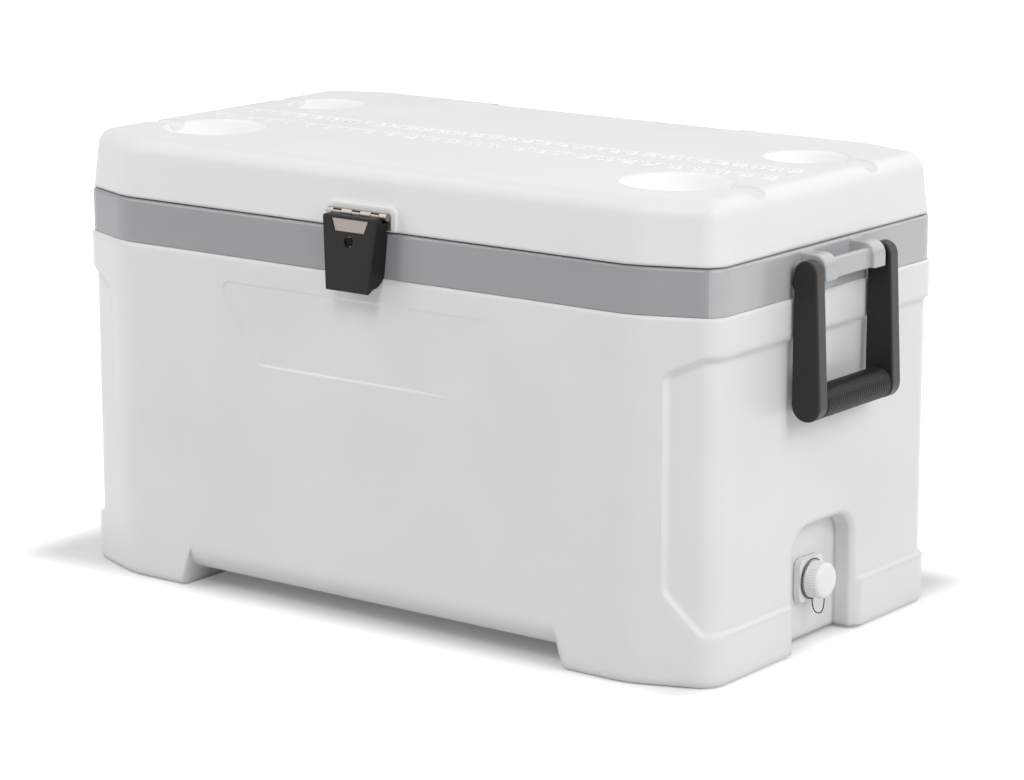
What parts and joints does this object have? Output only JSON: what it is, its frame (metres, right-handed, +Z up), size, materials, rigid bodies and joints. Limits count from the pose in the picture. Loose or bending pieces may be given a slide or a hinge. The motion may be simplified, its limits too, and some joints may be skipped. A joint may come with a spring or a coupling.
{
  "type": "chest cooler",
  "caption": "Insulated chest cooler with a hinged lid, cup holders, a flip latch, swing handles at both ends and a tethered screw drain.",
  "frame": {"origin": "centre of the chest on the plane its feet stand on", "axes": "+X along the chest towards the drain, +Y towards the hinges, +Z up"},
  "size_m": [0.805, 0.4523, 0.4306],
  "materials": {
    "shell_white": "satin",
    "liner_white": "satin",
    "foam": "matte",
    "collar_grey": "gloss",
    "latch_black": "satin",
    "handle_black": "satin",
    "grip_rubber": "matte",
    "hinge_steel": "satin",
    "screw_steel": "satin",
    "drain_white": "satin",
    "seal_rubber": "matte",
    "tether_black": "satin"
  },
  "bodies": {
    "chest": {"body_shell": "shell_white", "body_foam": "foam", "inner_liner": "liner_white", "collar": "collar_grey", "latch_keeper": "latch_black", "keeper_screws": "screw_steel", "hinge_left_body_leaf": "hinge_steel", "hinge_left_pin": "hinge_steel", "hinge_right_body_leaf": "hinge_steel", "hinge_right_pin": "hinge_steel", "hinge_body_screws": "screw_steel", "drain_fitting": "drain_white", "drain_gasket": "seal_rubber", "drain_nut": "drain_white", "tether_ring": "tether_black"},
    "lid": {"lid_shell": "shell_white", "lid_foam": "foam", "lid_liner": "liner_white", "latch_fixed_leaf": "hinge_steel", "latch_pin": "hinge_steel", "latch_screws": "screw_steel", "hinge_left_lid_leaf": "hinge_steel", "hinge_right_lid_leaf": "hinge_steel", "hinge_lid_screws": "screw_steel"},
    "latch": {"latch_swing_leaf": "hinge_steel", "latch_cover": "latch_black", "latch_rivet": "screw_steel"},
    "handle_right": {"handle_right_bail": "handle_black", "handle_right_grip": "grip_rubber"},
    "handle_left": {"handle_left_bail": "handle_black", "handle_left_grip": "grip_rubber"},
    "cap_carrier": {"cap_swivel": "drain_white", "drain_tether": "tether_black"},
    "cap": {"drain_cap": "drain_white", "cap_seal": "seal_rubber"}
  },
  "joints": [
    {"name": "lid_hinge", "type": "hinge", "parent": "chest", "child": "lid", "pos_m": [0, 0.2155, 0.3736], "axis": [-1, 0, 0], "range_deg": [0, 100]},
    {"name": "latch_hinge", "type": "hinge", "parent": "lid", "child": "latch", "pos_m": [0, -0.2139, 0.3885], "axis": [-1, 0, 0], "range_deg": [0, 105]},
    {"name": "handle_right_swing", "type": "hinge", "parent": "chest", "child": "handle_right", "pos_m": [0.385, 0, 0.354], "axis": [0, -1, 0], "range_deg": [0, 95]},
    {"name": "handle_left_swing", "type": "hinge", "parent": "chest", "child": "handle_left", "pos_m": [-0.385, 0, 0.354], "axis": [0, 1, 0], "range_deg": [0, 95]},
    {"name": "cap_travel", "type": "slide", "parent": "chest", "child": "cap_carrier", "axis": [1, 0, 0], "range_m": [0, 0.009], "deforming": ["drain_tether"]},
    {"name": "cap_turn", "type": "hinge", "parent": "cap_carrier", "child": "cap", "pos_m": [0.36, 0, 0.059], "axis": [1, 0, 0], "range_deg": [0, 1080]}
  ],
  "couplings": [
    {"joint": "cap_travel", "follows": "cap_turn", "m_per_rad": 0.000477}
  ]
}
